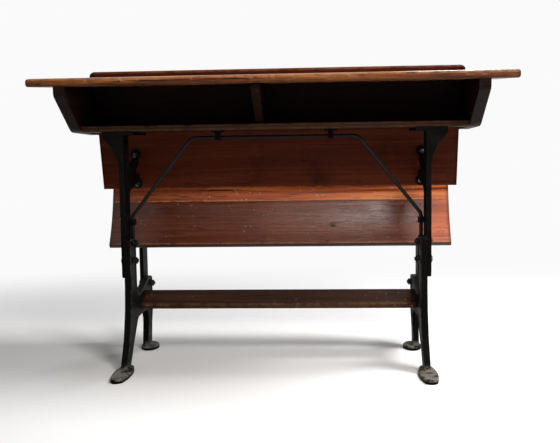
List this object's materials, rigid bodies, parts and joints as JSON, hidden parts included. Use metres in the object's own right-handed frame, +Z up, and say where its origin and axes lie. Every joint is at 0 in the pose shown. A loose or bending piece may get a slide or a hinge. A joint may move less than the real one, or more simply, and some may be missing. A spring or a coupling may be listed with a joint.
{
  "type": "double school desk with tip-up seat",
  "caption": "Long school desk on iron standards: fixed writing top, open book box, leaning backrest, tip-up dished seat on its far side, footrest, height-adjustable standards.",
  "frame": {"origin": "on the floor, under the middle of the bounding box", "axes": "+X to the right along the desk's length as the writing pupils see it, +Y away from them towards the backrest and the tip-up seat, +Z up"},
  "size_m": [1.222, 0.48, 0.8043],
  "materials": {
    "top_wood": "worn varnish",
    "box_wood": "dark varnish",
    "back_wood": "red-brown varnish",
    "seat_wood": "scratched varnish",
    "rest_wood": "scuffed varnish",
    "iron": "black japanned, worn",
    "rod_steel": "black paint",
    "fixings": "dull steel"
  },
  "bodies": {
    "base": {"base_casting_left": "iron", "base_casting_right": "iron", "footrest_board": "rest_wood", "footrest_screws": "fixings", "desk_clamp_bolts": "fixings", "desk_clamp_washers": "fixings", "desk_clamp_nuts": "fixings", "seat_clamp_bolts": "fixings", "seat_clamp_washers": "fixings", "seat_clamp_nuts": "fixings"},
    "desk": {"back_board_lower": "back_wood", "back_board_upper": "back_wood", "back_bolts": "fixings", "back_nuts": "fixings", "box_divider": "box_wood", "box_side_left": "box_wood", "box_side_right": "box_wood", "brace_eye_left_lower": "iron", "brace_eye_left_upper": "iron", "brace_eye_nuts": "fixings", "brace_eye_right_lower": "iron", "brace_eye_right_upper": "iron", "brace_rod": "rod_steel", "brace_saddle_left": "iron", "brace_saddle_right": "iron", "desk_standard_left": "iron", "desk_standard_right": "iron", "desk_top": "top_wood", "flange_screws": "fixings", "saddle_screws": "fixings", "shelf_board": "box_wood", "side_screws": "fixings"},
    "seat_carriage": {"seat_standard_left": "iron", "seat_standard_right": "iron", "hinge_pins": "fixings", "hinge_nuts": "fixings", "stop_pins": "fixings"},
    "seat": {"seat_board_rear": "seat_wood", "seat_board_front": "seat_wood", "seat_bracket_left": "iron", "seat_bracket_right": "iron", "seat_screws": "fixings"}
  },
  "joints": [
    {"name": "desk_height", "type": "slide", "parent": "base", "child": "desk", "axis": [0, 0, 1], "range_m": [0, 0.03]},
    {"name": "seat_height", "type": "slide", "parent": "base", "child": "seat_carriage", "axis": [0, 0, 1], "range_m": [-0.03, 0]},
    {"name": "seat_fold", "type": "hinge", "parent": "seat_carriage", "child": "seat", "pos_m": [0, 0.196, 0.358], "axis": [-1, 0, 0], "range_deg": [0, 72]}
  ]
}
